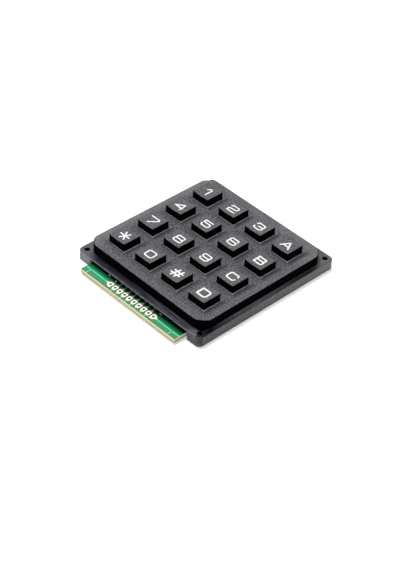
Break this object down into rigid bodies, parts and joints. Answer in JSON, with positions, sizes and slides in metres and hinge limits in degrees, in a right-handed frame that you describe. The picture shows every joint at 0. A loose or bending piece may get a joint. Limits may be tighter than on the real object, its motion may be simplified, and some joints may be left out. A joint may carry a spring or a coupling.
{
  "type": "matrix keypad",
  "caption": "Flat matrix keypad: square printed keys in a black moulded frame with a flange, over a rubber contact mat and a circuit board whose tab carries a row of terminals.",
  "frame": {"origin": "centre of the four mounting holes, on the back plane of the frame", "axes": "+Z from the back to the key tops, +Y from the tab towards the row of keys 1 2 3 A, +X to the right of the keypad as it is read"},
  "size_m": [0.065, 0.0741, 0.0107],
  "materials": {
    "frame_plastic": "black ABS, fine spark-eroded grain",
    "key_plastic": "black ABS, fine grain, printed legends",
    "board": "glass-epoxy laminate with green solder mask",
    "silicone": "matt grey silicone",
    "carbon": "carbon-filled, matt",
    "plating": "tinned copper, satin"
  },
  "bodies": {
    "frame": {"front_frame": "frame_plastic", "circuit_board": "board", "rubber_mat": "silicone", "switch_pads": "carbon", "terminal_pads": "plating"},
    "key_1": {"key_1": "key_plastic", "pill_1": "carbon"},
    "key_2": {"key_2": "key_plastic", "pill_2": "carbon"},
    "key_3": {"key_3": "key_plastic", "pill_3": "carbon"},
    "key_a": {"key_a": "key_plastic", "pill_a": "carbon"},
    "key_4": {"key_4": "key_plastic", "pill_4": "carbon"},
    "key_5": {"key_5": "key_plastic", "pill_5": "carbon"},
    "key_6": {"key_6": "key_plastic", "pill_6": "carbon"},
    "key_b": {"key_b": "key_plastic", "pill_b": "carbon"},
    "key_7": {"key_7": "key_plastic", "pill_7": "carbon"},
    "key_8": {"key_8": "key_plastic", "pill_8": "carbon"},
    "key_9": {"key_9": "key_plastic", "pill_9": "carbon"},
    "key_c": {"key_c": "key_plastic", "pill_c": "carbon"},
    "key_star": {"key_star": "key_plastic", "pill_star": "carbon"},
    "key_0": {"key_0": "key_plastic", "pill_0": "carbon"},
    "key_hash": {"key_hash": "key_plastic", "pill_hash": "carbon"},
    "key_d": {"key_d": "key_plastic", "pill_d": "carbon"}
  },
  "joints": [
    {"name": "press_1", "type": "slide", "parent": "frame", "child": "key_1", "axis": [0, 0, -1], "range_m": [0, 0.001], "stiffness_N_per_m": 200, "springref_m": -0.002, "deforming": ["rubber_mat"]},
    {"name": "press_2", "type": "slide", "parent": "frame", "child": "key_2", "axis": [0, 0, -1], "range_m": [0, 0.001], "stiffness_N_per_m": 200, "springref_m": -0.002, "deforming": ["rubber_mat"]},
    {"name": "press_3", "type": "slide", "parent": "frame", "child": "key_3", "axis": [0, 0, -1], "range_m": [0, 0.001], "stiffness_N_per_m": 200, "springref_m": -0.002, "deforming": ["rubber_mat"]},
    {"name": "press_a", "type": "slide", "parent": "frame", "child": "key_a", "axis": [0, 0, -1], "range_m": [0, 0.001], "stiffness_N_per_m": 200, "springref_m": -0.002, "deforming": ["rubber_mat"]},
    {"name": "press_4", "type": "slide", "parent": "frame", "child": "key_4", "axis": [0, 0, -1], "range_m": [0, 0.001], "stiffness_N_per_m": 200, "springref_m": -0.002, "deforming": ["rubber_mat"]},
    {"name": "press_5", "type": "slide", "parent": "frame", "child": "key_5", "axis": [0, 0, -1], "range_m": [0, 0.001], "stiffness_N_per_m": 200, "springref_m": -0.002, "deforming": ["rubber_mat"]},
    {"name": "press_6", "type": "slide", "parent": "frame", "child": "key_6", "axis": [0, 0, -1], "range_m": [0, 0.001], "stiffness_N_per_m": 200, "springref_m": -0.002, "deforming": ["rubber_mat"]},
    {"name": "press_b", "type": "slide", "parent": "frame", "child": "key_b", "axis": [0, 0, -1], "range_m": [0, 0.001], "stiffness_N_per_m": 200, "springref_m": -0.002, "deforming": ["rubber_mat"]},
    {"name": "press_7", "type": "slide", "parent": "frame", "child": "key_7", "axis": [0, 0, -1], "range_m": [0, 0.001], "stiffness_N_per_m": 200, "springref_m": -0.002, "deforming": ["rubber_mat"]},
    {"name": "press_8", "type": "slide", "parent": "frame", "child": "key_8", "axis": [0, 0, -1], "range_m": [0, 0.001], "stiffness_N_per_m": 200, "springref_m": -0.002, "deforming": ["rubber_mat"]},
    {"name": "press_9", "type": "slide", "parent": "frame", "child": "key_9", "axis": [0, 0, -1], "range_m": [0, 0.001], "stiffness_N_per_m": 200, "springref_m": -0.002, "deforming": ["rubber_mat"]},
    {"name": "press_c", "type": "slide", "parent": "frame", "child": "key_c", "axis": [0, 0, -1], "range_m": [0, 0.001], "stiffness_N_per_m": 200, "springref_m": -0.002, "deforming": ["rubber_mat"]},
    {"name": "press_star", "type": "slide", "parent": "frame", "child": "key_star", "axis": [0, 0, -1], "range_m": [0, 0.001], "stiffness_N_per_m": 200, "springref_m": -0.002, "deforming": ["rubber_mat"]},
    {"name": "press_0", "type": "slide", "parent": "frame", "child": "key_0", "axis": [0, 0, -1], "range_m": [0, 0.001], "stiffness_N_per_m": 200, "springref_m": -0.002, "deforming": ["rubber_mat"]},
    {"name": "press_hash", "type": "slide", "parent": "frame", "child": "key_hash", "axis": [0, 0, -1], "range_m": [0, 0.001], "stiffness_N_per_m": 200, "springref_m": -0.002, "deforming": ["rubber_mat"]},
    {"name": "press_d", "type": "slide", "parent": "frame", "child": "key_d", "axis": [0, 0, -1], "range_m": [0, 0.001], "stiffness_N_per_m": 200, "springref_m": -0.002, "deforming": ["rubber_mat"]}
  ]
}
